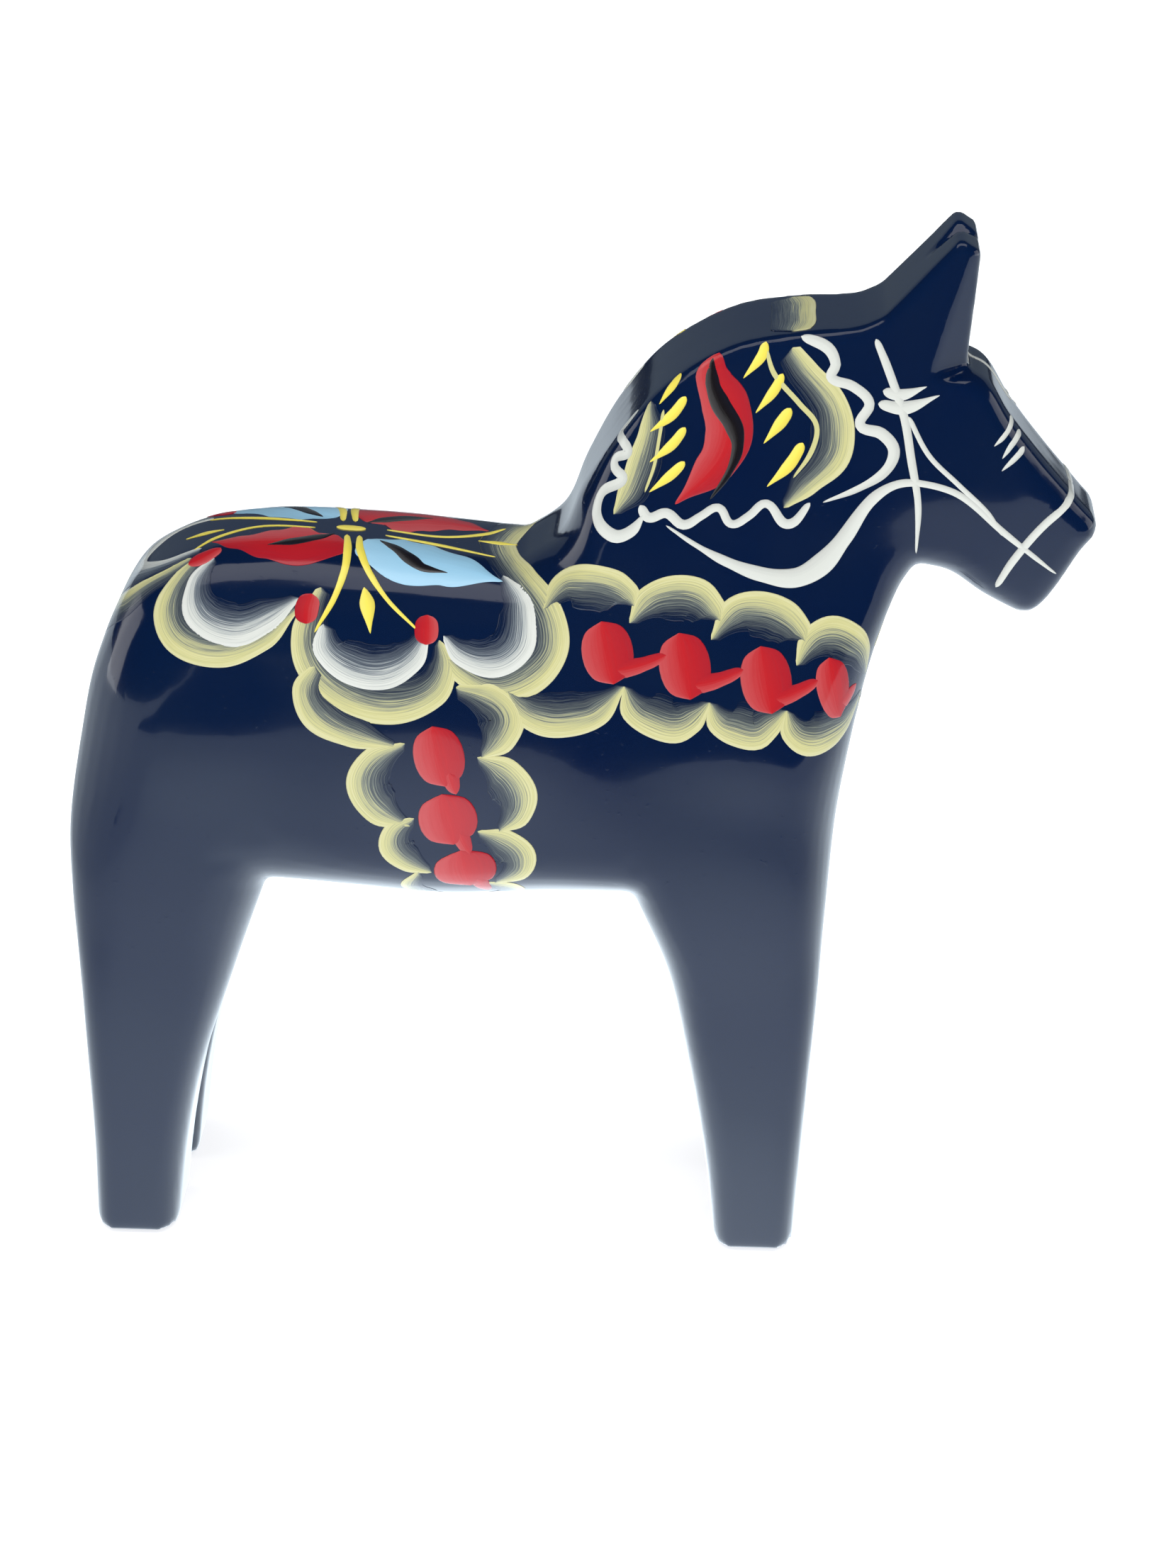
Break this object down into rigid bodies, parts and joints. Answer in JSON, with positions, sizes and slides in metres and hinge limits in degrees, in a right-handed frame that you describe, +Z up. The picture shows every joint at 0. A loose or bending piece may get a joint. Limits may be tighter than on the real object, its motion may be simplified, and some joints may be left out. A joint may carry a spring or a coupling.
{
  "type": "painted wooden horse",
  "caption": "Carved wooden folk-art horse standing on straight legs, glued up from dowelled boards and painted navy with flower, scallop and harness strokes.",
  "frame": {"origin": "on the ground under the middle of the horse", "axes": "+X towards the muzzle, +Y towards the horse's left side, +Z up"},
  "size_m": [0.2431, 0.0712, 0.25],
  "materials": {
    "navy_paint": "pine under glossy navy enamel",
    "cream_yellow_paint": "thin brushed enamel strokes",
    "white_paint": "thin brushed enamel strokes",
    "red_paint": "thin brushed enamel strokes",
    "sky_blue_paint": "thin brushed enamel strokes",
    "bright_yellow_paint": "thin brushed enamel strokes",
    "black_paint": "thin brushed enamel strokes",
    "bare_beech": "unpainted, hidden inside"
  },
  "bodies": {
    "root": {"right_hind_leg_stave": "navy_paint", "right_barrel_stave": "navy_paint", "right_fore_leg_stave": "navy_paint", "right_head_stave": "navy_paint", "left_hind_leg_stave": "navy_paint", "left_barrel_stave": "navy_paint", "left_fore_leg_stave": "navy_paint", "left_head_stave": "navy_paint", "core_rump_stave": "navy_paint", "core_barrel_stave": "navy_paint", "core_neck_stave": "navy_paint", "rump_dowel": "bare_beech", "loin_dowel": "bare_beech", "barrel_dowel": "bare_beech", "shoulder_dowel": "bare_beech", "neck_dowel": "bare_beech", "head_dowel": "bare_beech"}
  },
  "joints": []
}
